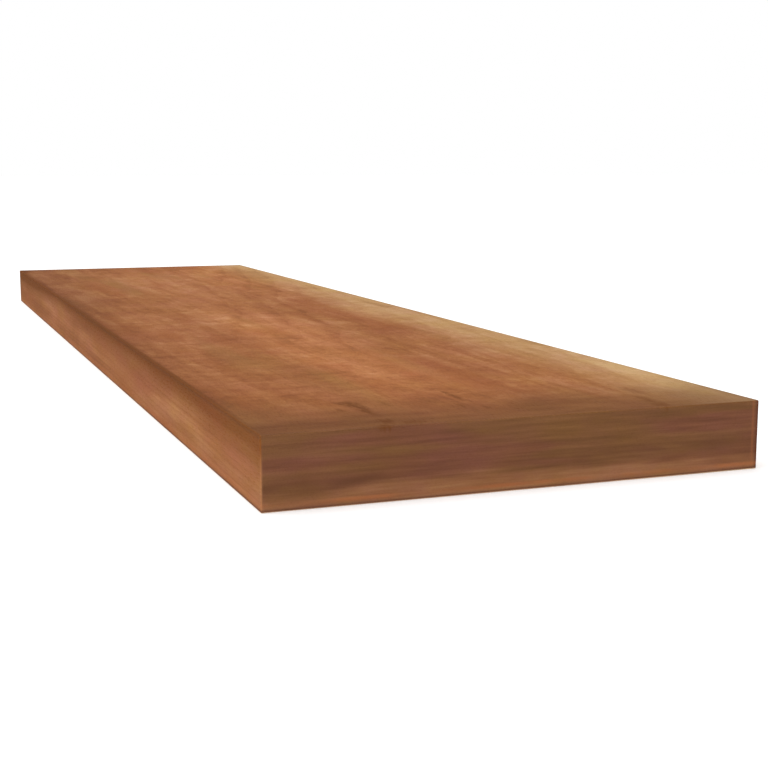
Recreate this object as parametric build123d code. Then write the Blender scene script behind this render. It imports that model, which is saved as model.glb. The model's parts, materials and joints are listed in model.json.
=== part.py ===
# Retrofit stair tread: one solid wooden cap that goes over the tread of an old stair.
# Its board lies on the old tread, its nose hangs in front, and its return closes the
# open end of the step. The far end and the back edge are left square, so that they can
# be cut to the wall and to the riser.
# Frame: X runs along the step, with the return at +X. The nose faces -Y, and Z is up.
# The origin is the middle of the footprint, on the surface that the tread lies on.
# All sizes are in millimetres.

import os

from build123d import *

# Outer size
tread_length = 1219.2
tread_depth = 304.8

# Section
board_thickness = 15.875
old_tread_thickness = 25.4
nose_width = 31.75

# Eased edges
arris_radius = 1.0
mouth_radius = 0.8

# Relief kerfs in the underside of the board, which keep it flat and key the adhesive
kerf_count = 6
kerf_width = 6.35
kerf_depth = 3.175
kerf_to_return = 25.4

# Worked out from the sizes above
tread_height = board_thickness + old_tread_thickness
far_end = -tread_length / 2
near_end = tread_length / 2
front = -tread_depth / 2
back = tread_depth / 2
nose_inner = front + nose_width
return_inner = near_end - nose_width


def is_at(edge, **places):
    """Whether an edge's middle has the coordinates given, such as Y=front."""
    middle = edge.center()
    return all(abs(getattr(middle, axis) - place) < 1e-3 for axis, place in places.items())


def nosing():
    """The edge that hangs down, run along the front and mitred round the corner into the return."""
    course = Polyline((far_end, front), (near_end, front), (near_end, back))
    start = Plane(origin=(far_end, front, 0), x_dir=(0, 1, 0), z_dir=(1, 0, 0))
    section = Rectangle(nose_width, tread_height, align=(Align.MIN, Align.MIN))
    run = sweep(start * section, path=course, transition=Transition.RIGHT)
    mouth = run.edges().filter_by(lambda e: is_at(e, Y=nose_inner, Z=0) or is_at(e, X=return_inner, Z=0))
    run = fillet(mouth, mouth_radius)
    shown = run.edges().filter_by(lambda e: is_at(e, Y=front) or is_at(e, X=near_end))
    cut_ends = shown.filter_by(lambda e: is_at(e, X=far_end) or is_at(e, Y=back))
    return fillet(shown - cut_ends, arris_radius)


def board():
    """The flat board behind the nosing, which lies on the old tread."""
    plan = Pos(far_end, nose_inner, old_tread_thickness) * Rectangle(
        return_inner - far_end, back - nose_inner, align=(Align.MIN, Align.MIN)
    )
    return extrude(plan, board_thickness)


def kerfs():
    """Router grooves that run in from the far end and stop, round ended, short of the return."""
    last_centre = return_inner - kerf_to_return - kerf_width / 2
    first_centre = far_end - kerf_width
    middle = Pos((first_centre + last_centre) / 2, (nose_inner + back) / 2, old_tread_thickness)
    pitch = (back - nose_inner) / (kerf_count + 1)
    rows = GridLocations(0, pitch, 1, kerf_count)
    groove = SlotCenterToCenter(last_centre - first_centre, kerf_width)
    return [extrude(middle * row * groove, kerf_depth) for row in rows]


def tread():
    body = nosing() + board()
    return body - kerfs()


os.makedirs("parts", exist_ok=True)
part = tread()
export_step(part, "parts/tread.step")
print("tread volume", round(part.volume), "mm3, box", part.bounding_box().size)
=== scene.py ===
# %% [markdown]
# # A retrofit stair tread in solid wood
# This lesson dresses one piece of joinery: a wooden cap that is glued over the worn tread of an
# old stair. It is a flat board with a square nose hanging along its front and a return of the
# same section closing its open end. The form is simple, so the wood does the work: most of the
# lesson is about growing a believable plank inside the shader, in three dimensions, so that the
# top, the nose, the ends and the underside are all cut from the same timber.

# %% Load the packed frame
import json
import math

import bpy
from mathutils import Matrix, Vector


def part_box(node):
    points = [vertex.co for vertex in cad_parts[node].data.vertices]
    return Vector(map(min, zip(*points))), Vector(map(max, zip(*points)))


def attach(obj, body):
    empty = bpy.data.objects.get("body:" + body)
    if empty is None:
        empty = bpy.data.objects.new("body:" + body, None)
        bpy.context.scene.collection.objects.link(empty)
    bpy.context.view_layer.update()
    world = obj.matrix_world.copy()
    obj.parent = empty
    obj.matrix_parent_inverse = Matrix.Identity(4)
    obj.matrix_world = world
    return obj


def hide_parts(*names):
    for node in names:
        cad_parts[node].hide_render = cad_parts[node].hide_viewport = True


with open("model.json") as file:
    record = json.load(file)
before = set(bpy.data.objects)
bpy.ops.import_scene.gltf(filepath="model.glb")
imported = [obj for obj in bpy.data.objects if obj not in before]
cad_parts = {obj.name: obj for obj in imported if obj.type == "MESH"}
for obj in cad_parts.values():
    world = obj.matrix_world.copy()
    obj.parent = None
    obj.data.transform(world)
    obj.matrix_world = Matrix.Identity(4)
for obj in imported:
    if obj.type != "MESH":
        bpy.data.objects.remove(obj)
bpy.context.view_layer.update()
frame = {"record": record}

# %% [markdown]
# ## Sizes
# Every size that the joiner would read off a drawing comes from the packed record: the outside
# of the tread is its box, and the faces that meet the old stair are its mounts. Nothing is
# measured by eye, so the dressed tread fits over the same old tread as the solid one does.

# %% Read the tread's sizes
tread_low, tread_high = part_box("tread")
length, depth, height = tread_high - tread_low
mount_at = {m["name"]: Vector(m["pos_m"]) for m in frame["record"]["mounts"]}
seat_height = mount_at["old_tread_seat"].z
nose_inner = mount_at["nose_inner_face"].y
return_inner = mount_at["return_inner_face"].x
front, back = tread_low.y, tread_high.y
far_end, near_end = tread_low.x, tread_high.x
MM = 0.001
print(f"tread {length / MM:.1f} x {depth / MM:.1f} x {height / MM:.2f} mm")
print(f"board {(height - seat_height) / MM:.2f} mm, nose {(nose_inner - front) / MM:.2f} mm")

# %% [markdown]
# ## The camera
# The photograph looks down the length of the tread from just above its open corner, with a
# moderately long lens. The camera stands a step away from that corner, turned 20.5 degrees off
# the length and tipped 9 degrees down. It is placed with a position and a direction, because
# both can be read off the picture: the horizon gives the tip, the vanishing point the turn.

# %% Camera
PICTURE_PIXELS = 768
FOCAL_PIXELS = 1351.5
CAMERA_PLACE = (1.2696, -0.3312, 0.1763)
CAMERA_TURN, CAMERA_TIP = math.radians(20.51), math.radians(9.04)
scene = bpy.context.scene
camera_data = bpy.data.cameras.new("photo_camera")
camera_data.sensor_width = 36
camera_data.lens = camera_data.sensor_width * FOCAL_PIXELS / PICTURE_PIXELS
camera_data.clip_start, camera_data.clip_end = 0.01, 100
camera = bpy.data.objects.new("photo_camera", camera_data)
scene.collection.objects.link(camera)
camera.location = CAMERA_PLACE
looking = Vector((
    -math.cos(CAMERA_TURN) * math.cos(CAMERA_TIP),
    math.sin(CAMERA_TURN) * math.cos(CAMERA_TIP),
    -math.sin(CAMERA_TIP),
))
camera.rotation_mode = "QUATERNION"
camera.rotation_quaternion = looking.to_track_quat("-Z", "Y")
scene.camera = camera
print(f"lens {camera_data.lens:.1f} mm, looking along", [round(v, 3) for v in looking])

# %% [markdown]
# ## A helper for node trees
# A shader that grows wood has several dozen nodes. Written out by hand each needs three lines,
# so a small helper adds a node, sets its properties and feeds its inputs in one call. Each call
# hands back the socket that the next node reads, and the shader then reads like arithmetic.


# %% Node helper
class NodeBench:
    """Adds nodes to one tree. Every method that adds one returns an output socket."""

    def __init__(self, tree):
        self.tree = tree

    def feed(self, socket, value):
        if isinstance(value, bpy.types.NodeSocket):
            self.tree.links.new(value, socket)
        elif value is not None:
            socket.default_value = value

    def add(self, kind, feeds=None, output=0, **settings):
        node = self.tree.nodes.new(kind)
        for name, value in settings.items():
            setattr(node, name, value)
        for name, value in (feeds or {}).items():
            self.feed(node.inputs[name], value)
        return node.outputs[output]

    def math(self, operation, first, second=None, third=None, clamp=False):
        feeds = {0: first, 1: second, 2: third}
        return self.add("ShaderNodeMath", feeds, operation=operation, use_clamp=clamp)

    def minus(self, first, second):
        return self.math("SUBTRACT", first, second)

    def times(self, first, *others):
        """The first value times each of the others."""
        for other in others:
            first = self.math("MULTIPLY", first, other)
        return first

    def total(self, start, *parts):
        """A start value plus parts, each given as a pair of a value and its weight."""
        for value, weight in parts:
            start = self.math("MULTIPLY_ADD", value, weight, start)
        return start

    def vector(self, operation, first, second=None, output="Vector"):
        feeds = {0: first, 1: second}
        return self.add("ShaderNodeVectorMath", feeds, output=output, operation=operation)

    def join(self, x, y, z):
        return self.add("ShaderNodeCombineXYZ", {0: x, 1: y, 2: z})

    def split(self, vector):
        outputs = self.add("ShaderNodeSeparateXYZ", {0: vector}).node.outputs
        return outputs[0], outputs[1], outputs[2]


print("a node bench can", ", ".join(name for name in vars(NodeBench) if not name.startswith("_")))

# %% [markdown]
# ## A bench for surfaces
# A surface is built from a few moves made again and again: a noise stretched along the grain, a slow
# drift, a soft edge, a stripe, a mix of two colours and a ramp of several. A second bench has a
# method for each of them, on top of those of the first.


# %% Surface helper
class Bench(NodeBench):
    """A node bench that also knows the moves of a surface."""

    def noise(self, vector, stretch, detail=2.0, rough=0.5, distortion=0.0):
        """Smooth noise from 0 to 1, with as many lumps in a metre of each axis as stretch says."""
        scaled = self.vector("MULTIPLY", vector, stretch)
        feeds = {
            "Vector": scaled,
            "Scale": 1.0,
            "Detail": detail,
            "Roughness": rough,
            "Distortion": distortion,
        }
        return self.add("ShaderNodeTexNoise", feeds)

    def wander(self, vector, stretch, reach, **noise_settings):
        """A soft drift to either side of zero, by up to about half the reach."""
        return self.times(self.minus(self.noise(vector, stretch, **noise_settings), 0.5), reach)

    def ease(self, value, low, high, start=0.0, end=1.0):
        """A value that goes smoothly from start to end as the input goes from low to high."""
        feeds = {"Value": value, "From Min": low, "From Max": high, "To Min": start, "To Max": end}
        return self.add("ShaderNodeMapRange", feeds, interpolation_type="SMOOTHSTEP")

    def stripe(self, value, middle, inner, outer, strength=1.0):
        """Full strength while the value is within inner of the middle, and nothing past outer."""
        off_middle = self.math("ABSOLUTE", self.minus(value, middle))
        return self.ease(off_middle, inner, outer, strength, 0.0)

    def blend(self, amount, first, second, blend_type="MIX"):
        node = self.tree.nodes.new("ShaderNodeMix")
        node.data_type = "RGBA"
        node.blend_type = blend_type
        self.feed(node.inputs[0], amount)
        self.feed(node.inputs[6], first)
        self.feed(node.inputs[7], second)
        return node.outputs[2]

    def ramp(self, value, stops):
        node = self.tree.nodes.new("ShaderNodeValToRGB")
        self.feed(node.inputs[0], value)
        elements = node.color_ramp.elements
        while len(elements) < len(stops):
            elements.new(0.5)
        for element, (place, colour) in zip(elements, stops):
            element.position = place
            element.color = colour
        return node.outputs[0]


print("and for surfaces", ", ".join(name for name in vars(Bench) if not name.startswith("_")))

# %% [markdown]
# ## The floor
# The tread is shown as in a catalogue, on white, so the floor is wide and pale and glows a little, as
# a light table does. The satin finish would mirror it and turn milky, so glossy rays meet a floor
# that is dark and doesn't glow. It is clear from below, so the underside can be looked at too, and
# it lies a fifth of a millimetre under the tread, because two faces in one plane would flicker.

# %% Floor
FLOOR_HALF_WIDTH, FLOOR_DROP = 30.0, 0.0002
TABLE_GLOW = 0.34
WHITE = (1.0, 1.0, 1.0, 1.0)
FLOOR_PALE, FLOOR_MIRRORED = (0.93, 0.93, 0.93, 1.0), (0.15, 0.15, 0.15, 1.0)
floor_mesh = bpy.data.meshes.new("studio_floor")
signs = ((-1, -1), (1, -1), (1, 1), (-1, 1))
corners = [(x * FLOOR_HALF_WIDTH, y * FLOOR_HALF_WIDTH, -FLOOR_DROP) for x, y in signs]
floor_mesh.from_pydata(corners, [], [(0, 1, 2, 3)])
floor = bpy.data.objects.new("studio_floor", floor_mesh)
scene.collection.objects.link(floor)

paint = bpy.data.materials.new("pale_floor")
paint.use_nodes = True
floor_mesh.materials.append(paint)
bench = Bench(paint.node_tree)
coat = paint.node_tree.nodes["Principled BSDF"]
coat.inputs["Roughness"].default_value = 0.9
coat.inputs["Specular IOR Level"].default_value = 0.0
coat.inputs["Emission Color"].default_value = WHITE
mirrored = bench.add("ShaderNodeLightPath", output="Is Glossy Ray")
glow = bench.add("ShaderNodeMix", {"Factor": mirrored, "A": TABLE_GLOW, "B": 0.0})
bench.feed(coat.inputs["Emission Strength"], glow)
bench.feed(coat.inputs["Base Color"], bench.blend(mirrored, FLOOR_PALE, FLOOR_MIRRORED))
clear = bench.add("ShaderNodeBsdfTransparent")
from_below = bench.add("ShaderNodeNewGeometry", output="Backfacing")
one_sided = bench.add("ShaderNodeMixShader", {0: from_below, 1: coat.outputs["BSDF"], 2: clear})
bench.feed(paint.node_tree.nodes["Material Output"].inputs["Surface"], one_sided)
print("floor", floor.dimensions.x, "m wide,", FLOOR_DROP / MM, "mm under the tread")

# %% [markdown]
# ## Sky and lamp
# A white sky is the backdrop. The camera sees it white, but it lights the wood less and is mirrored
# less still, so that one broad lamp can shape the tread. The lamp hangs high over the nose and
# towards the far end: the top takes most of its light, the nose some, and the near end turns away
# and goes darker. A lamp of the sun kind, as wide as a big soft box, lights the whole floor evenly.

# %% Sky and lamp
SKY_SEEN, SKY_LIGHT, SKY_MIRRORED = 1.0, 0.40, 0.12
KEY_LIGHT, KEY_SPREAD = 0.61, math.radians(70)
KEY_SHINES_ALONG = Vector((0.05, 0.28, -1.0))
scene.view_settings.view_transform = "Standard"
scene.view_settings.look = "None"
world = bpy.data.worlds.new("white_studio")
scene.world = world
world.use_nodes = True
world.node_tree.nodes.clear()
bench = Bench(world.node_tree)
ray = bench.add("ShaderNodeLightPath").node.outputs
lighting = bench.add("ShaderNodeMix", {"Factor": ray["Is Glossy Ray"], "A": SKY_LIGHT, "B": SKY_MIRRORED})
strength = bench.add("ShaderNodeMix", {"Factor": ray["Is Camera Ray"], "A": lighting, "B": SKY_SEEN})
backdrop = bench.add("ShaderNodeBackground", {"Color": WHITE, "Strength": strength})
sky_out = world.node_tree.nodes.new("ShaderNodeOutputWorld")
bench.feed(sky_out.inputs["Surface"], backdrop)

lamp_data = bpy.data.lights.new("key_lamp", "SUN")
lamp_data.energy = KEY_LIGHT * math.pi
lamp_data.angle = KEY_SPREAD
lamp = bpy.data.objects.new("key_lamp", lamp_data)
scene.collection.objects.link(lamp)
lamp.rotation_mode = "QUATERNION"
lamp.rotation_quaternion = KEY_SHINES_ALONG.to_track_quat("-Z", "Y")
print("key lamp", round(lamp_data.energy, 2), "W per square metre")

# %% [markdown]
# ## Helpers for colours and groups
# A finisher names a colour by eye, and a paint card gives it as three numbers from 0 to 255. Blender
# counts in light instead, so one function translates. Another starts a node group: an effect that
# several woods share, with named inputs, built once and placed in each of them.


# %% Colour and group helpers
def tone(red, green, blue):
    """A colour named as a paint card would, 0 to 255, turned into the light that Blender counts in."""
    def linear(channel):
        share = channel / 255
        return share / 12.92 if share <= 0.04045 else ((share + 0.055) / 1.055) ** 2.4
    return (linear(red), linear(green), linear(blue), 1.0)


FLOAT, VECTOR = "NodeSocketFloat", "NodeSocketVector"


def shader_group(name, inputs, outputs):
    """An empty node group with named inputs and outputs, and a bench to fill it with."""
    tree = bpy.data.node_groups.new(name, "ShaderNodeTree")
    for label, kind, default in inputs:
        socket = tree.interface.new_socket(label, in_out="INPUT", socket_type=kind)
        if default is not None:
            socket.default_value = default
    for label, kind in outputs:
        tree.interface.new_socket(label, in_out="OUTPUT", socket_type=kind)
    entry = tree.nodes.new("NodeGroupInput")
    leave = tree.nodes.new("NodeGroupOutput")
    return tree, Bench(tree), entry.outputs, leave.inputs


print("a middle wood tone is", [round(v, 3) for v in tone(184, 117, 68)])

# %% [markdown]
# ## Growing the plank: rings
# A tree lays down rings around its pith. A plank is a straight cut through those rings: the top
# of this one cuts them at a shallow angle and shows broad soft bands, the nose cuts them closer,
# and the ends show the rings themselves as flat arcs. One solid texture gives all of these at
# once, and they meet at the edges as they do in real timber. A picture wrapped round the board
# could not do that. The group measures the distance from a pith below the board and lets it wander,
# flutter and taper along the length. Late wood darkens through each year and stops sharply.

# %% Wood figure group: rings
FLUTTER, TAPER = 0.005, 0.012
LATE_WOOD_START, YEAR_END = 0.45, 0.96
figure, bench, given, result = shader_group(
    "wood_figure",
    [
        ("Place", VECTOR, None),
        ("Pith Y", FLOAT, -0.04),
        ("Pith Z", FLOAT, -0.9),
        ("Ring Spacing", FLOAT, 0.0036),
        ("Wander", FLOAT, 0.03),
    ],
    [("Bands", FLOAT), ("Rings", FLOAT), ("Fibre", FLOAT), ("Pores", FLOAT), ("Ripple", FLOAT)],
)
timber = given["Place"]
x, y, z = bench.split(timber)
drift = bench.wander(timber, (1.3, 3.0, 3.0), given["Wander"], detail=1.0)
flutter = bench.wander(timber, (7.0, 26.0, 26.0), FLUTTER)
from_pith_y = bench.minus(bench.minus(y, given["Pith Y"]), drift)
from_pith_z = bench.minus(bench.minus(z, given["Pith Z"]), drift)
squares = bench.math("ADD", bench.times(from_pith_y, from_pith_y), bench.times(from_pith_z, from_pith_z))
radius = bench.total(bench.math("SQRT", squares), (flutter, 1.0), (x, TAPER))
part_of_year = bench.math("FRACT", bench.math("DIVIDE", radius, given["Ring Spacing"]))
late_wood = bench.ease(part_of_year, LATE_WOOD_START, YEAR_END)
new_year = bench.ease(part_of_year, YEAR_END, 1.0, 1.0, 0.0)
bench.feed(result["Rings"], bench.times(late_wood, new_year))
print("wood_figure has", len(figure.nodes), "nodes for its rings")

# %% [markdown]
# ## Growing the plank: bands, fibres and ripple
# Colour follows the rings as broad bands, with streaks and thin lines running through them. Fibres
# and pores are hundreds of times finer across the grain than along it, so their noise is squeezed
# by that much. This timber also has a ripple: soft clouds, short bars that come and go along the
# board, and small curls where the grain turns on itself. Each is a noise of its own, and their sum
# is what makes the top look alive.

# %% Wood figure group: bands, fibres and ripple
broad = bench.noise(bench.join(bench.times(x, 0.1), radius, 0.0), (9.0, 85.0, 1.0))
streaks = bench.noise(timber, (4.6, 34.0, 34.0), detail=3.0, rough=0.6, distortion=0.5)
lines = bench.noise(timber, (9.0, 150.0, 150.0))
bands = bench.total(0.02, (broad, 0.38), (streaks, 0.42), (lines, 0.16))
bench.feed(result["Bands"], bench.ease(bands, 0.36, 0.64))

long_fibre = bench.noise(timber, (9.0, 620.0, 620.0))
short_fibre = bench.noise(timber, (40.0, 1700.0, 1700.0), detail=1.0)
bench.feed(result["Fibre"], bench.total(0.0, (long_fibre, 0.6), (short_fibre, 0.4)))
pores = bench.noise(timber, (170.0, 3000.0, 3000.0), detail=0.0)
bench.feed(result["Pores"], bench.ease(pores, 0.60, 0.72))

clouds = bench.noise(timber, (24.0, 17.0, 17.0), detail=4.0, rough=0.58, distortion=0.5)
bars = bench.wander(timber, (66.0, 34.0, 34.0), 1.0, rough=0.6, distortion=0.4)
where_barred = bench.ease(bench.noise(timber, (3.4, 11.0, 11.0), detail=1.0), 0.42, 0.62, 0.1, 0.8)
curls = bench.noise(timber, (88.0, 105.0, 105.0), detail=3.0, rough=0.62, distortion=1.4)
curls = bench.ease(curls, 0.36, 0.66, 0.07, -0.13)
ripple = bench.total(-0.3, (clouds, 0.6), (bench.times(bars, where_barred), 0.9), (curls, 1.0))
bench.feed(result["Ripple"], ripple)
print("wood_figure has", len(figure.nodes), "nodes in all")

# %% [markdown]
# ## Sapwood
# Under the bark a tree carries a ring of pale living wood. This board was cut so that its back edge
# lies in that ring, and the strip runs right through it: it shows on the top, the back, the far end
# and the underside. One group gives the mask to every wood. It reads the distance from the back
# edge, lets the border wander slowly along the board and widens the strip a little at the near end.

# %% Sapwood group
PUREST_SAPWOOD = -0.010
NEAR_END_WIDENING = 0.006
sap, bench, given, result = shader_group(
    "sapwood_strip",
    [("Place", VECTOR, None), ("Width", FLOAT, 0.074), ("Wander", FLOAT, 0.022)],
    [("Mask", FLOAT)],
)
x, y, z = bench.split(given["Place"])
border = bench.wander(given["Place"], (5.0, 9.0, 9.0), given["Wander"])
widening = bench.ease(x, 0.46, 0.6, 0.0, NEAR_END_WIDENING)
into_board = bench.total(back, (y, -1.0), (border, -1.0), (widening, -1.0))
bench.feed(result["Mask"], bench.ease(into_board, PUREST_SAPWOOD, given["Width"], 1.0, 0.0))
print("sapwood_strip has", len(sap.nodes), "nodes")

# %% [markdown]
# ## The arris: wear and painted highlight
# A joiner takes the sharpness off every edge that a hand or foot meets. Finish is thin there, and the
# rounded edge would catch the light, so an arris is painted as a fine, lighter and warmer line, partly
# wear and partly painted highlight: plainest on the upright corner, faint along the lower edges,
# and not there along the top, where the finish went on last. The group measures how near a point
# is to two faces at once, which is what an edge is. Each kind of edge has a weight of its own, and
# a little noise rubs the line away in places.

# %% Arris wear and highlight group
wear_and_highlight, bench, given, result = shader_group(
    "arris_wear_and_highlight",
    [
        ("Place", VECTOR, None),
        ("Width", FLOAT, 0.0019),
        ("Upright", FLOAT, 0.3),
        ("Lower", FLOAT, 0.1),
        ("Upper", FLOAT, 0.0),
    ],
    [("Mask", FLOAT)],
)
x, y, z = bench.split(given["Place"])
gaps = (bench.minus(y, front), bench.minus(near_end, x), bench.minus(height, z), z)
at_front, at_end, at_top, at_base = [bench.ease(gap, 0.0, given["Width"], 1.0, 0.0) for gap in gaps]
outside = bench.math("MAXIMUM", at_front, at_end)
fading_upwards = bench.ease(z, 0.5 * height, 0.85 * height, 1.0, 0.08)
edges = [
    (bench.times(at_front, at_end, fading_upwards), given["Upright"]),
    (bench.times(outside, at_base), given["Lower"]),
    (bench.times(outside, at_top), given["Upper"]),
]
rub = bench.ease(bench.noise(given["Place"], (60.0, 60.0, 60.0)), 0.3, 0.65, 0.4, 1.0)
bench.feed(result["Mask"], bench.times(bench.total(0.0, *edges), rub))
print("arris_wear_and_highlight has", len(wear_and_highlight.nodes), "nodes")

# %% [markdown]
# ## Tool marks
# The faces that nobody sees are left from the machine. A planer leaves fine ripples across the
# board and a saw leaves slanted scratches. Both are rows of parallel marks with a little noise,
# so one group makes them, with the direction and the pitch as inputs.

# %% Tool marks group
SWAY = 0.004
marks, bench, given, result = shader_group(
    "tool_marks",
    [("Place", VECTOR, None), ("Across", VECTOR, (1.0, 0.0, 0.0)), ("Pitch", FLOAT, 0.002)],
    [("Height", FLOAT), ("Fuzz", FLOAT)],
)
run = bench.vector("DOT_PRODUCT", given["Place"], given["Across"], output="Value")
run = bench.total(run, (bench.noise(given["Place"], (9.0, 9.0, 9.0), detail=1.0), SWAY))
phase = bench.times(bench.math("DIVIDE", run, given["Pitch"]), math.tau)
wave = bench.total(0.5, (bench.math("SINE", phase), 0.5))
patchy = bench.noise(given["Place"], (25.0, 25.0, 25.0))
bench.feed(result["Height"], bench.times(wave, patchy))
bench.feed(result["Fuzz"], bench.noise(given["Place"], (420.0, 900.0, 900.0)))
print("tool_marks has", len(marks.nodes), "nodes")

# %% [markdown]
# ## Starting and finishing a wood
# All three woods start alike, as a Principled surface that reads the object's own coordinates, and
# end alike, with a colour, a roughness and a fine relief that a Bump node turns into normals. Only
# what lies between differs, so the start and the end are functions.


# %% Helpers for woods
def new_wood(name, specular):
    """A material with a Principled surface, its bench and the object's own coordinates."""
    material = bpy.data.materials.new(name)
    material.use_nodes = True
    bench = Bench(material.node_tree)
    surface = material.node_tree.nodes["Principled BSDF"]
    surface.inputs["Specular IOR Level"].default_value = specular
    place = bench.add("ShaderNodeTexCoord", output="Object")
    return material, bench, surface, place


def place_group(bench, tree, feeds):
    """Puts a shader group into a material and feeds its inputs."""
    node = bench.tree.nodes.new("ShaderNodeGroup")
    node.node_tree = tree
    for name, value in feeds.items():
        bench.feed(node.inputs[name], value)
    return node.outputs


def finish_wood(bench, surface, colour, roughness, relief, strength, deepest):
    """Feeds the surface its colour, its roughness and the normals of its relief."""
    bump = bench.add("ShaderNodeBump", {"Height": relief, "Strength": strength, "Distance": deepest})
    bench.feed(surface.inputs["Base Color"], colour)
    bench.feed(surface.inputs["Roughness"], roughness)
    bench.feed(surface.inputs["Normal"], bump)


print("three woods will share", ", ".join(tree.name for tree in (figure, sap, marks)))

# %% [markdown]
# ## Finished wood: the body of the board
# The faces in view have a clear satin finish over reddish brown timber. The figure group gives the
# masks and this material gives them colour. The body colour runs from a dark brown through an
# orange brown to a light, slightly pink one, and drifts towards red or olive in patches a hand
# wide. A mask is cheaper to tune than a picture: each stop below is one tone that a finisher
# could mix. Two depth masks of about a millimetre tell the nose and the near end from the top, and
# fade out over the rounded arris.

# %% Finished wood: body
SKIN_INNER, SKIN_OUTER = 0.0003, 0.0012
finished, bench, surface, place = new_wood("finished_wood", specular=0.22)
x, y, z = bench.split(place)
from_front = bench.minus(y, front)
from_end = bench.minus(near_end, x)
on_nose = bench.ease(from_front, SKIN_INNER, SKIN_OUTER, 1.0, 0.0)
off_nose = bench.minus(1.0, on_nose)
on_end = bench.ease(from_end, SKIN_INNER, SKIN_OUTER, 1.0, 0.0)
grain = place_group(bench, figure, {"Place": place})
mottle = bench.times(grain["Ripple"], bench.total(1.0, (on_nose, -0.8)))
shade = bench.total(
    0.19,
    (grain["Bands"], 0.50),
    (grain["Fibre"], 0.36),
    (mottle, 0.92),
    (grain["Rings"], -0.14),
    (bench.ease(x, 0.05, 0.3), 0.035),
)
body = bench.ramp(shade, [
    (0.0, tone(140, 80, 38)),
    (0.35, tone(166, 99, 52)),
    (0.65, tone(184, 117, 68)),
    (1.0, tone(206, 145, 97)),
])
red_noise = bench.noise(place, (5.0, 18.0, 18.0), detail=3.0, rough=0.6)
body = bench.blend(bench.ease(red_noise, 0.5, 0.66, 0.0, 0.5), body, tone(170, 97, 50))
olive_noise = bench.noise(bench.vector("ADD", place, (3.1, 0.4, 0.0)), (2.5, 20.0, 20.0))
body = bench.blend(bench.ease(olive_noise, 0.52, 0.72, 0.0, 0.5), body, tone(171, 120, 64))
print("body of the board:", len(finished.node_tree.nodes), "nodes so far")

# %% [markdown]
# ## Finished wood: the dark margin
# Some of the colour is not chance. This board has a darker margin along the nose, which narrows
# towards the near end, fades there, and swells in one place a little past the middle. Right behind
# the arris it deepens to a line that is plainest at the far end. Each is laid on by its distance
# from the front, and multiplies what is there, so the grain shows through it.

# %% Finished wood: margin and front line
MARGIN_WIDTH, MARGIN_WANDER = 0.045, 0.03
SWELLING_X, SWELLING_HALF_LENGTH, SWELLING = -0.16, 0.2, 0.009
SHADE_OF_MARGIN = (0.72, 0.67, 0.60, 1.0)
SHADE_OF_FRONT_LINE = (0.70, 0.58, 0.42, 1.0)
margin_edge = bench.math("ADD", from_front, bench.wander(place, (3.0, 9.0, 9.0), MARGIN_WANDER))
narrowing = bench.ease(x, far_end, 0.2, 0.42, 1.0)
swelling = bench.stripe(x, SWELLING_X, 0.0, SWELLING_HALF_LENGTH, SWELLING)
margin_edge = bench.minus(bench.times(margin_edge, narrowing), swelling)
margin = bench.ease(margin_edge, 0.0, MARGIN_WIDTH, 0.85, 0.0)
margin = bench.times(margin, bench.total(1.0, (on_nose, -0.9)), bench.ease(x, 0.0, 0.5, 1.0, 0.5))
body = bench.blend(margin, body, SHADE_OF_MARGIN, "MULTIPLY")
front_line = bench.ease(from_front, 0.002, 0.011, 0.75, 0.0)
front_line = bench.times(front_line, off_nose, bench.ease(x, -0.2, 0.35, 1.0, 0.1))
body = bench.blend(front_line, body, SHADE_OF_FRONT_LINE, "MULTIPLY")
print("margin", round(MARGIN_WIDTH / MM), "mm wide at the near end, swelling at x", SWELLING_X, "m")

# %% [markdown]
# ## Finished wood: light band, far back and sapwood
# A light band runs a little forward of the board's middle. It is faint over the far half, plainest
# over the near half, and dies away before the near end. The far back of the board is lighter too,
# and the sapwood along the back edge has a tone of its own. Last comes a faint dark rim along the
# back and the far end.

# %% Finished wood: light band, far back and sapwood
LIGHT_BAND_Y, LIGHT_BAND_INNER, LIGHT_BAND_OUTER, BAND_WANDER = -0.016, 0.014, 0.050, 0.05
GLOW_OF_BAND = (1.28, 1.34, 1.46, 1.0)
GLOW_OF_FAR_BACK = (1.22, 1.26, 1.28, 1.0)
SHADE_OF_RIM = (0.76, 0.78, 0.78, 1.0)
far_back = bench.times(bench.ease(x, -0.4, 0.0, 1.0, 0.0), bench.ease(y, 0.0, 0.07))
body = bench.blend(far_back, body, GLOW_OF_FAR_BACK, "MULTIPLY")
band_y = bench.math("ADD", y, bench.wander(place, (2.2, 4.0, 4.0), BAND_WANDER))
on_band = bench.stripe(band_y, LIGHT_BAND_Y, LIGHT_BAND_INNER, LIGHT_BAND_OUTER)
light_band = bench.times(on_band, bench.ease(x, -0.1, 0.2, 0.3, 1.0), bench.ease(x, 0.42, 0.56, 1.0, 0.15))
body = bench.blend(light_band, body, GLOW_OF_BAND, "MULTIPLY")

sapwood = place_group(bench, sap, {"Place": place})["Mask"]
sap_tone = bench.ramp(shade, [
    (0.1, tone(190, 142, 88)),
    (0.5, tone(214, 168, 112)),
    (0.9, tone(228, 188, 136)),
])
colour = bench.blend(bench.times(sapwood, 0.95), body, sap_tone)
to_back = bench.minus(back, y)
back_rim = bench.times(bench.ease(to_back, 0.001, 0.007, 1.0, 0.0), bench.ease(x, 0.5, 0.6, 0.4, 0.9))
far_rim = bench.ease(bench.minus(x, far_end), 0.004, 0.035, 0.5, 0.0)
colour = bench.blend(bench.math("MAXIMUM", back_rim, far_rim), colour, SHADE_OF_RIM, "MULTIPLY")
print("light band up to", round(2 * LIGHT_BAND_OUTER / MM), "mm wide")
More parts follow.
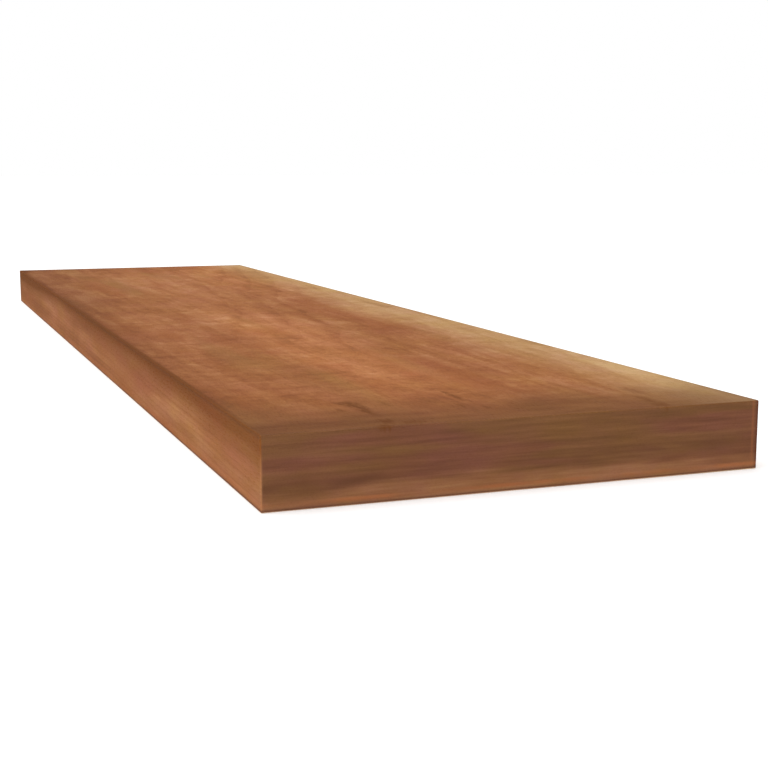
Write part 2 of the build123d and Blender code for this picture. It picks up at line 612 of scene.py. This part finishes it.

# %% [markdown]
# ## Finished wood: the nose
# The nose is a face of its own, with a dark streak in its upper half that deepens right under the
# top edge and laps a few millimetres over it. Towards the near end a quieter band lies low on the
# nose. Along the top arris a thin brown line of painted shade is drawn, a little stronger towards the near
# end.

# %% Finished wood: nose
STREAK_BOTTOM, STREAK_TOP, STREAK_WANDER = 0.48 * height, 0.95 * height, 0.010
DEEPEST_BOTTOM, DEEPEST_TOP = 0.84 * height, 1.02 * height
LOW_BAND_Z, LOW_BAND_INNER, LOW_BAND_OUTER = 0.24 * height, 0.03 * height, 0.16 * height
SHADE_OF_LOW_BAND = (0.88, 0.84, 0.74, 1.0)
RISE_AT_ENDS = 0.006
STREAK_BROWN, ARRIS_SHADE_BROWN = tone(139, 75, 4), tone(106, 62, 28)
streak_z = bench.total(
    z,
    (bench.wander(place, (4.0, 3.0, 3.0), STREAK_WANDER), 1.0),
    (bench.ease(x, 0.38, 0.52), RISE_AT_ENDS),
    (bench.ease(x, -0.4, -0.2, 1.0, 0.0), RISE_AT_ENDS),
)
streak = bench.ease(streak_z, STREAK_BOTTOM, STREAK_TOP, 0.0, 0.78)
streak = bench.math("ADD", streak, bench.ease(streak_z, DEEPEST_BOTTOM, DEEPEST_TOP, 0.0, 0.3), clamp=True)
over_edge = bench.math("MAXIMUM", bench.ease(from_front, 0.001, 0.0036, 0.9, 0.0), on_nose)
streak = bench.times(streak, bench.ease(x, 0.38, 0.55, 1.0, 0.8), over_edge)
colour = bench.blend(streak, colour, STREAK_BROWN)
low_band = bench.stripe(z, LOW_BAND_Z, LOW_BAND_INNER, LOW_BAND_OUTER)
low_band = bench.times(low_band, on_nose, bench.ease(x, 0.22, 0.34))
colour = bench.blend(low_band, colour, SHADE_OF_LOW_BAND, "MULTIPLY")
# Painted shade: a thin dark line along the top arris of the nose.
arris_shade_line = bench.times(
    bench.ease(from_front, 0.0008, 0.004, 1.0, 0.0),
    bench.ease(z, height - 0.004, height - 0.0005),
    bench.ease(x, -0.4, 0.1, 0.2, 0.42),
)
colour = bench.blend(arris_shade_line, colour, ARRIS_SHADE_BROWN)
print(f"streak from {STREAK_BOTTOM / MM:.0f} mm up, low band round {LOW_BAND_Z / MM:.0f} mm")

# %% [markdown]
# ## Finished wood: tones of the near end
# The near end is darker all over, partly as end grain that drinks finish and partly as painted shade,
# and on it the figure turns to short dashes across the board. Two ramps over the same dashes, a red
# one and an olive one, take turns in flat patches: the end leans to olive near its top and to red just
# above its foot.

# %% Finished wood: tones of the near end
dash = bench.total(
    0.0,
    (bench.noise(place, (30.0, 8.0, 230.0), detail=3.0, rough=0.6), 0.6),
    (bench.noise(place, (110.0, 28.0, 560.0)), 0.4),
)


def dashes(dark, middle, light, spread=0.2):
    """Three tones laid over the dashes, from the darkest dash to the lightest."""
    stops = [(0.5 - spread, tone(*dark)), (0.5, tone(*middle)), (0.5 + spread, tone(*light))]
    return bench.ramp(dash, stops)


# Painted shade in part: these end tones are darker than the top's.
red_end = dashes((114, 67, 43), (131, 79, 53), (143, 89, 61))
olive_end = dashes((115, 74, 39), (131, 85, 48), (145, 97, 58))
near_top = bench.ease(z, 0.62 * height, 0.9 * height)
above_foot = bench.ease(z, 0.2 * height, 0.42 * height)
turns = bench.noise(place, (8.0, 9.0, 75.0), detail=1.0)
turns = bench.total(0.05, (turns, 1.0), (near_top, 0.16), (above_foot, -0.1))
end_tones_and_shade = bench.blend(bench.ease(turns, 0.42, 0.6), red_end, olive_end)
print("finished wood with its near end:", len(finished.node_tree.nodes), "nodes so far")

# %% [markdown]
# ## Finished wood: lines on the near end
# A broken dark line crosses the end a little over a third of the way up, and the foot below it
# stays light. Along the back corner runs a dark line, with a warm one beside it.

# %% Finished wood: lines on the near end
LINE_Z, LINE_INNER, LINE_OUTER, LINE_SLOPE = 0.37 * height, 0.02 * height, 0.15 * height, -0.014
FOOT_LOW, FOOT_HIGH = 0.07 * height, 0.28 * height
WARM_LINE_IN = 0.0036
LINE_BROWN, WARM_CORNER, BACK_CORNER_BROWN = tone(108, 64, 36), tone(176, 100, 56), tone(104, 52, 32)
line_z = bench.total(z, (y, LINE_SLOPE), (bench.wander(place, (9.0, 7.0, 9.0), 0.012), 1.0))
dark_line = bench.stripe(line_z, LINE_Z, LINE_INNER, LINE_OUTER, 0.8)
broken = bench.ease(bench.noise(place, (9.0, 16.0, 60.0)), 0.36, 0.6, 0.15, 1.0)
end_tones_and_shade = bench.blend(bench.times(dark_line, broken), end_tones_and_shade, LINE_BROWN)
foot_z = bench.math("ADD", z, bench.wander(place, (9.0, 13.0, 70.0), 0.022))
light_foot = bench.ease(foot_z, FOOT_LOW, FOOT_HIGH, 0.85, 0.0)
foot_tone = dashes((146, 92, 54), (163, 108, 68), (176, 122, 80), spread=0.16)
end_tones_and_shade = bench.blend(light_foot, end_tones_and_shade, foot_tone)
warm_line = bench.stripe(to_back, WARM_LINE_IN, 0.0002, 0.0013, 0.3)
end_tones_and_shade = bench.blend(warm_line, end_tones_and_shade, WARM_CORNER)
back_corner_line = bench.ease(to_back, 0.0006, 0.0026, 0.75, 0.0)
end_tones_and_shade = bench.blend(back_corner_line, end_tones_and_shade, BACK_CORNER_BROWN)
print(f"dark line at {LINE_Z / MM:.0f} mm, light foot up to {FOOT_HIGH / MM:.0f} mm")

# %% [markdown]
# ## Finished wood: painted shade at the near end
# Over about a hand's width back from the near end the top is painted darker, as shade, further in
# some places than in others, and less where the light band and the sapwood run out. There the figure
# is the same dashes in darker tones of the top. The end itself takes its own darker tones all over, and the
# nose none.

# %% Finished wood: painted shade at the near end
SHADE_FULL, SHADE_GONE, SHADE_WANDER = 0.004, 0.115, 0.05
BAND_HOLDS_BACK = 0.016
SHADED_SAPWOOD = tone(150, 110, 72)
# Painted shade: darker tones of the top towards the near end.
shaded_top = dashes((122, 72, 34), (138, 86, 45), (154, 100, 56))
shaded_top = bench.blend(bench.times(sapwood, 0.8), shaded_top, SHADED_SAPWOOD)
shade_from = bench.total(
    from_end,
    (bench.wander(place, (12.0, 26.0, 26.0), SHADE_WANDER), 1.0),
    (on_band, BAND_HOLDS_BACK),
)
# Painted shade: the mask of the darkened top near the end, and of the whole end face.
near_end_shade = bench.ease(shade_from, SHADE_FULL, SHADE_GONE, 1.0, 0.0)
near_end_shade = bench.times(near_end_shade, bench.total(1.0, (sapwood, -0.2)))
near_end_shade = bench.times(bench.math("MAXIMUM", near_end_shade, on_end), off_nose)
colour = bench.blend(near_end_shade, colour, bench.blend(on_end, shaded_top, end_tones_and_shade))
print("stain gone", round(SHADE_GONE / MM), "mm from the near end")

# %% [markdown]
# ## Finished wood: the eye of a small knot
# Six centimetres from the near end a twig once grew. The rings pass round its eye and leave a
# dark brow on the side away from the nose. It is drawn with distance alone: along and across are
# scaled so that the eye is a circle, and the brow is darkest near a distance of one. Inside that it
# softens. Weights leave out the side towards the nose and the far tip, and noise makes it uneven.

# %% Finished wood: knot
EYE_X, EYE_Y, EYE_LONG, EYE_WIDE = 0.552, -0.0840, 0.024, 0.0072
along = bench.math("DIVIDE", bench.minus(x, EYE_X), EYE_LONG)
across = bench.math("DIVIDE", bench.minus(y, EYE_Y), EYE_WIDE)
from_eye = bench.vector("LENGTH", bench.join(along, across, 0.0), output="Value")
from_eye = bench.math("ADD", from_eye, bench.wander(place, (120.0, 220.0, 9.0), 0.8))
away_from_nose = bench.ease(bench.total(0.0, (along, -0.5), (across, 0.8)), 0.0, 0.35)
brow = bench.times(
    bench.ease(from_eye, 1.1, 1.9, 0.8, 0.0),
    bench.ease(from_eye, 0.1, 0.8, 0.25, 1.0),
    away_from_nose,
    bench.ease(bench.noise(place, (110.0, 260.0, 9.0)), 0.34, 0.56, 0.35, 1.0),
    bench.ease(along, -1.15, -0.7),
)
print(f"knot eye {EYE_LONG / MM:.0f} by {EYE_WIDE / MM:.1f} mm to each side")

# %% [markdown]
# ## Finished wood: flecks of bark
# Five flecks of bark lie in the wood near the knot, three thin ones in the light band and three in
# a row along the border of the sapwood. A fleck is where the scaled distance from its middle is
# less than about one, roughened by a noise that they share. Each row below is a fleck's place along
# and across the board, its half length, its half width and its strength.

# %% Finished wood: flecks
FLECK_DEPTH = 0.003
BARK_BROWN = tone(120, 66, 14)
FLECKS = [
    (0.597, -0.078, 0.008, 0.0045, 0.9),
    (0.608, -0.083, 0.004, 0.005, 0.75),
    (0.602, -0.064, 0.005, 0.008, 0.6),
    (0.556, -0.0905, 0.006, 0.0024, 0.5),
    (0.544, -0.059, 0.010, 0.003, 0.35),
    (0.532, -0.0103, 0.021, 0.0026, 0.6),
    (0.564, -0.020, 0.009, 0.0018, 0.45),
    (0.574, -0.008, 0.006, 0.0018, 0.4),
    (0.554, 0.100, 0.016, 0.004, 0.35),
    (0.584, 0.092, 0.014, 0.004, 0.5),
    (0.602, 0.090, 0.008, 0.005, 0.55),
]
ragged = bench.wander(place, (180.0, 460.0, 60.0), 2.2)
bark = brow
for fleck_x, fleck_y, half_long, half_wide, fleck_strength in FLECKS:
    offset = bench.vector("SUBTRACT", place, (fleck_x, fleck_y, height))
    offset = bench.vector("MULTIPLY", offset, (1 / half_long, 1 / half_wide, 1 / FLECK_DEPTH))
    from_fleck = bench.math("ADD", bench.vector("LENGTH", offset, output="Value"), ragged)
    bark = bench.math("MAXIMUM", bark, bench.ease(from_fleck, 0.2, 1.4, fleck_strength, 0.0))
colour = bench.blend(bark, colour, BARK_BROWN)
print(len(FLECKS), "flecks of bark")

# %% [markdown]
# ## Finished wood: hue, pores and arrises
# No timber keeps one hue, so the colour drifts a little between olive and purple, most on the nose
# and the end. The pores are fine dark dashes along the grain. The arris, part wear and part painted
# highlight, goes on last, and along the foot a warm line where the finish was rubbed, over a painted
# shadow where the wood meets the floor.

# %% Finished wood: hue, pores and arrises
OLIVE_DRIFT, PURPLE_DRIFT = (0.985, 1.035, 0.78, 1.0), (1.02, 0.965, 1.22, 1.0)
PORE_BROWN, ARRIS_TONE = tone(92, 52, 28), tone(200, 144, 106)
WARM_FOOT_TONE, FOOT_SHADOW_TONE = tone(186, 110, 62), tone(96, 58, 42)
hue = bench.noise(place, (16.0, 30.0, 60.0), detail=3.0, rough=0.6)
hue_tone = bench.ramp(hue, [(0.3, OLIVE_DRIFT), (0.5, WHITE), (0.7, PURPLE_DRIFT)])
hue_share = bench.math("MAXIMUM", on_nose, bench.times(on_end, 0.75))
colour = bench.blend(bench.math("MAXIMUM", hue_share, 0.55), colour, hue_tone, "MULTIPLY")
pore_share = bench.times(grain["Pores"], bench.total(0.28, (on_nose, -0.12)))
colour = bench.blend(pore_share, colour, PORE_BROWN)
# The arris line: part wear, part painted highlight.
edge = place_group(bench, wear_and_highlight, {"Place": place})
colour = bench.blend(edge["Mask"], colour, ARRIS_TONE)
rubbed = bench.ease(bench.noise(place, (26.0, 26.0, 9.0)), 0.38, 0.62, 0.1, 0.6)
warm_foot = bench.times(bench.stripe(z, WARM_LINE_IN, 0.0002, 0.0018), rubbed)
colour = bench.blend(warm_foot, colour, WARM_FOOT_TONE)
# Painted shadow: a dark line along the foot, where the tread meets the floor.
foot_shadow = bench.ease(z, 0.0007, 0.0022, 0.65, 0.0)
colour = bench.blend(foot_shadow, colour, FOOT_SHADOW_TONE)
print("colour of the finished wood takes", len(finished.node_tree.nodes), "nodes")

# %% [markdown]
# ## Finished wood: sheen
# The pores are the only relief that a satin finish leaves. They drive the roughness too, because
# finish sinks into them and dulls.

# %% Finished wood: sheen
sheen = bench.total(0.42, (grain["Pores"], 0.2), (grain["Fibre"], 0.14))
relief = bench.total(0.0, (grain["Fibre"], 0.35), (grain["Pores"], -1.0))
finish_wood(bench, surface, colour, sheen, relief, strength=0.18, deepest=0.0003)
print("finished_wood has", len(finished.node_tree.nodes), "nodes")

# %% [markdown]
# ## Raw wood
# The underside, the room for the old tread and the kerfs are as they left the planer: paler,
# because nothing has been put on them, and dull. The same figure runs through them, so the rings
# seen at the far end go on into the underside.

# %% Raw underside
raw, bench, surface, place = new_wood("raw_planed_wood", specular=0.2)
grain = place_group(bench, figure, {"Place": place})
planed = place_group(bench, marks, {"Place": place, "Across": (1.0, 0.05, 0.0), "Pitch": 0.0028})
shade = bench.total(0.0, (grain["Bands"], 0.6), (grain["Fibre"], 0.5), (grain["Rings"], -0.2))
colour = bench.ramp(shade, [
    (0.0, tone(160, 118, 86)),
    (0.5, tone(192, 149, 112)),
    (1.0, tone(212, 173, 136)),
])
sapwood = place_group(bench, sap, {"Place": place})["Mask"]
raw_sap = bench.ramp(shade, [(0.0, tone(188, 152, 112)), (1.0, tone(228, 198, 156))])
colour = bench.blend(bench.times(sapwood, 0.8), colour, raw_sap)
colour = bench.blend(bench.times(grain["Pores"], 0.4), colour, tone(120, 82, 58))
dullness = bench.ease(planed["Fuzz"], 0.3, 0.7, 0.62, 0.82)
relief = bench.total(0.0, (planed["Height"], 0.6), (planed["Fuzz"], 0.4), (grain["Pores"], -0.6))
finish_wood(bench, surface, colour, dullness, relief, strength=0.35, deepest=0.0004)
print("raw_planed_wood has", len(raw.node_tree.nodes), "nodes")

# %% [markdown]
# ## Sawn ends
# The far end and the back edge are square cuts, left for the fitter to trim. On the end the rings
# stand out as flat arcs and the pores are cut across, so they are dots and not dashes. The saw
# leaves slanted scratches over both.

# %% Sawn ends
sawn, bench, surface, place = new_wood("sawn_wood", specular=0.18)
grain = place_group(bench, figure, {"Place": place})
saw = place_group(bench, marks, {"Place": place, "Across": (0.35, 1.0, 0.3), "Pitch": 0.0016})
shade = bench.total(0.05, (grain["Bands"], 0.5), (grain["Rings"], -0.45), (saw["Fuzz"], 0.5))
colour = bench.ramp(shade, [
    (0.0, tone(124, 84, 58)),
    (0.5, tone(166, 120, 84)),
    (1.0, tone(196, 150, 110)),
])
sapwood = place_group(bench, sap, {"Place": place})["Mask"]
sawn_sap = bench.ramp(shade, [
    (0.0, tone(150, 112, 76)),
    (0.5, tone(192, 152, 108)),
    (1.0, tone(216, 180, 136)),
])
colour = bench.blend(bench.times(sapwood, 0.8), colour, sawn_sap)
dots = bench.ease(bench.noise(place, (900.0, 1500.0, 1500.0), detail=0.0), 0.62, 0.74, 0.0, 0.5)
colour = bench.blend(dots, colour, tone(96, 62, 42))
dullness = bench.ease(saw["Fuzz"], 0.3, 0.7, 0.68, 0.86)
relief = bench.total(0.0, (saw["Height"], 0.7), (saw["Fuzz"], 0.5))
finish_wood(bench, surface, colour, dullness, relief, strength=0.4, deepest=0.0004)
print("woods:", finished.name, raw.name, sawn.name)

# %% [markdown]
# ## The form
# The joiner squares a thick blank, cuts the room for the old tread out of its underside, runs the
# relief kerfs with a router, and eases the edges. The tread could be extruded from its section,
# but then the kerfs and the return would need patching by hand. Geometry Nodes can follow the
# joiner instead: a blank, two kinds of cutter, one subtraction. Each size is a named input of the
# tree.

# %% Geometry tree: inputs
form = bpy.data.node_groups.new("tread_form", "GeometryNodeTree")
form.is_modifier = True
bench = Bench(form)
form.interface.new_socket("Geometry", in_out="INPUT", socket_type="NodeSocketGeometry")
sizes = {
    "Length": length,
    "Depth": depth,
    "Height": height,
    "Seat Height": seat_height,
    "Nose Width": nose_inner - front,
    "Kerf Width": 6.35 * MM,
    "Kerf Depth": 3.175 * MM,
    "Kerf To Return": 25.4 * MM,
    "Kerfs": 6,
}
socket_of = {}
for label, value in sizes.items():
    kind = "NodeSocketInt" if isinstance(value, int) else FLOAT
    socket_of[label] = form.interface.new_socket(label, in_out="INPUT", socket_type=kind).identifier
form.interface.new_socket("Geometry", in_out="OUTPUT", socket_type="NodeSocketGeometry")
given = form.nodes.new("NodeGroupInput").outputs
result = form.nodes.new("NodeGroupOutput").inputs
print("tread_form takes", ", ".join(sizes))

# %% [markdown]
# ## Blank and recess
# The blank is a block of the tread's outer size. The recess is a second block, and it reaches a
# little past the blank at the far end, at the back and below, so that the subtraction never has to
# choose between two faces in one plane.

# %% Geometry tree: blank and recess
SPARE = 0.02


def half(value):
    return bench.times(value, 0.5)


def plus(first, second):
    return bench.math("ADD", first, second)


def block(size, centre):
    """A box of the size given, moved to its centre."""
    cube = bench.add("GeometryNodeMeshCube", {"Size": bench.join(*size)})
    return bench.add("GeometryNodeTransform", {"Geometry": cube, "Translation": bench.join(*centre)})


blank = block((given["Length"], given["Depth"], given["Height"]), (0.0, 0.0, half(given["Height"])))
seat_length = bench.minus(given["Length"], given["Nose Width"])
seat_depth = bench.minus(given["Depth"], given["Nose Width"])
recess_size = (plus(seat_length, SPARE), plus(seat_depth, SPARE), plus(given["Seat Height"], SPARE))
recess_centre = (
    half(bench.minus(bench.times(given["Nose Width"], -1.0), SPARE)),
    half(plus(given["Nose Width"], SPARE)),
    half(bench.minus(given["Seat Height"], SPARE)),
)
recess = block(recess_size, recess_centre)
print("the recess reaches", round(SPARE / MM), "mm past the blank")

# %% [markdown]
# ## A cutter for the kerfs
# A router leaves round-ended slots. One cutter is drawn as a rounded outline, filled, raised into a
# solid and closed with a second lid. The radius is a hair under half the width, because at exactly
# half the arcs of two corners would meet in one point.

# %% Geometry tree: kerf cutter
ALMOST_HALF, POINTS_PER_ARC = 0.499, 10
WELD_DISTANCE = 1e-6
kerf_reach = bench.minus(seat_length, given["Kerf To Return"])
kerf_length = plus(kerf_reach, SPARE)
kerf_outline = {"Width": kerf_length, "Height": given["Kerf Width"]}
outline = bench.add("GeometryNodeCurvePrimitiveQuadrilateral", kerf_outline)
kerf_radius = bench.times(given["Kerf Width"], ALMOST_HALF)
rounding = {"Curve": outline, "Count": POINTS_PER_ARC, "Radius": kerf_radius}
outline = bench.add("GeometryNodeFilletCurve", rounding, mode="POLY")
lid = bench.add("GeometryNodeFillCurve", {"Curve": outline}, mode="NGONS")
kerf_rise = plus(given["Kerf Depth"], SPARE / 2)
walls = bench.add("GeometryNodeExtrudeMesh", {"Mesh": lid, "Offset Scale": kerf_rise, "Individual": False})
base = bench.add("GeometryNodeFlipFaces", {"Mesh": lid})
slot_parts = form.nodes.new("GeometryNodeJoinGeometry")
bench.feed(slot_parts.inputs[0], walls)
bench.feed(slot_parts.inputs[0], base)
welding = {"Geometry": slot_parts.outputs[0], "Distance": WELD_DISTANCE}
slot = bench.add("GeometryNodeMergeByDistance", welding)
print("one kerf cutter, its ends rounded with", POINTS_PER_ARC, "points to an arc")

# %% [markdown]
# ## The row and the subtraction
# The kerfs share out the depth of the seat evenly. The row of cutters and the recess are then taken
# from the blank in one exact subtraction.

# %% Geometry tree: kerf row and subtraction
pitch = bench.math("DIVIDE", seat_depth, plus(given["Kerfs"], 1.0))
row_start = bench.join(
    bench.minus(half(kerf_length), plus(half(given["Length"]), SPARE)),
    plus(bench.minus(given["Nose Width"], half(given["Depth"])), pitch),
    bench.minus(given["Seat Height"], SPARE / 2),
)
row_settings = {"Count": given["Kerfs"], "Start Location": row_start, "Offset": bench.join(0.0, pitch, 0.0)}
row = bench.add("GeometryNodeMeshLine", row_settings)
kerf_row = bench.add("GeometryNodeInstanceOnPoints", {"Points": row, "Instance": slot})
kerf_row = bench.add("GeometryNodeRealizeInstances", {"Geometry": kerf_row})
cut = form.nodes.new("GeometryNodeMeshBoolean")
cut.operation = "DIFFERENCE"
cut.solver = "EXACT"
bench.feed(cut.inputs["Mesh 1"], blank)
bench.feed(cut.inputs["Mesh 2"], recess)
bench.feed(cut.inputs["Mesh 2"], kerf_row)
carved = cut.outputs["Mesh"]
print("cutters: 1 recess,", sizes["Kerfs"], "kerfs")

# %% [markdown]
# ## Which edges are eased
# A Bevel modifier rounds edges that carry a weight. The tree can say which: an edge belongs to the
# arris where its middle lies on the front face or the near end. Those in view get the full
# radius, the mouth of the recess a little less, and the sawn edges only a touch.

# %% Geometry tree: edge weights
ARRIS_RADIUS = 1.0 * MM
MOUTH_WEIGHT, SAWN_WEIGHT = 0.8, 0.25
ON_FACE = 0.02 * MM
mid_x, mid_y, mid_z = bench.split(bench.add("GeometryNodeInputPosition"))


def near(value, target):
    return bench.math("COMPARE", value, target, ON_FACE)


def either(*masks):
    joined = masks[0]
    for mask in masks[1:]:
        joined = bench.math("MAXIMUM", joined, mask)
    return joined


on_front, on_back = near(mid_y, front), near(mid_y, back)
on_near_end, on_far_end = near(mid_x, near_end), near(mid_x, far_end)
in_mouth = bench.times(near(mid_z, 0.0), either(near(mid_y, nose_inner), near(mid_x, return_inner)))
sawn_edge = either(
    bench.times(near(mid_z, height), either(on_far_end, on_back)),
    bench.times(on_front, on_far_end),
    bench.times(on_near_end, on_back),
)
in_view = either(on_front, on_near_end)
shown_edge = bench.math("SUBTRACT", in_view, sawn_edge, clamp=True)
weight = either(
    shown_edge,
    bench.times(in_mouth, MOUTH_WEIGHT),
    bench.times(sawn_edge, SAWN_WEIGHT),
)
carved = bench.add(
    "GeometryNodeStoreNamedAttribute",
    {"Geometry": carved, "Name": "bevel_weight_edge", "Value": weight},
    data_type="FLOAT",
    domain="EDGE",
)
print("arris", ARRIS_RADIUS / MM, "mm, mouth", MOUTH_WEIGHT * ARRIS_RADIUS / MM, "mm")

# %% [markdown]
# ## Which face has which wood
# The middle of a face tells where it is. Everything is finished wood at first. What lies in the
# recess or under the tread turns to raw wood, and the two square cuts to sawn wood. The kerfs go
# up past the seat by about 3 mm, so the limit for raw wood lies 5 mm above it.

# %% Geometry tree: woods
PAST_THE_KERFS = 0.005
low_down = bench.math("LESS_THAN", mid_z, seat_height + PAST_THE_KERFS)
hidden_face = bench.times(low_down, bench.minus(1.0, in_view))
sawn_face = either(on_far_end, on_back)
carved = bench.add("GeometryNodeRealizeInstances", {"Geometry": carved})
carved = bench.add("GeometryNodeSetMaterial", {"Geometry": carved, "Material": finished})
for faces, wood in ((hidden_face, raw), (sawn_face, sawn)):
    choice = {"Geometry": carved, "Selection": faces, "Material": wood}
    carved = bench.add("GeometryNodeSetMaterial", choice)
bench.feed(result["Geometry"], carved)
print("tread_form has", len(form.nodes), "nodes")

# %% [markdown]
# ## From tree to timber
# The modifier's inputs are set by their identifiers, then the tree is evaluated once with a Bevel
# after it, and the result is kept as a plain mesh. Hardened normals keep the flats flat and let
# only the arrises shade round.

# %% Make the tread's mesh
carrier = bpy.data.objects.new("tread_carrier", bpy.data.meshes.new("tread_carrier"))
scene.collection.objects.link(carrier)
modifier = carrier.modifiers.new("tread_form", "NODES")
modifier.node_group = form
for label, value in sizes.items():
    modifier[socket_of[label]] = value
ease_edges = carrier.modifiers.new("ease_edges", "BEVEL")
ease_edges.limit_method = "WEIGHT"
ease_edges.width = ARRIS_RADIUS
ease_edges.segments = 5
ease_edges.use_clamp_overlap = False
ease_edges.harden_normals = True
evaluated = carrier.evaluated_get(bpy.context.evaluated_depsgraph_get())
tread_mesh = bpy.data.meshes.new_from_object(evaluated)
bpy.data.objects.remove(carrier)
tread_mesh.name = "tread_cap"
while tread_mesh.materials[0] is None:
    tread_mesh.materials.pop(index=0)
tread = bpy.data.objects.new("tread_cap", tread_mesh)
scene.collection.objects.link(tread)
print("tread_cap:", len(tread_mesh.vertices), "points,", len(tread_mesh.polygons), "faces")
print("its materials:", [material.name for material in tread_mesh.materials])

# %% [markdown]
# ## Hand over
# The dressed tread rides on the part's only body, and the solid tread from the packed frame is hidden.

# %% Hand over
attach(tread, "root")
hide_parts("tread")
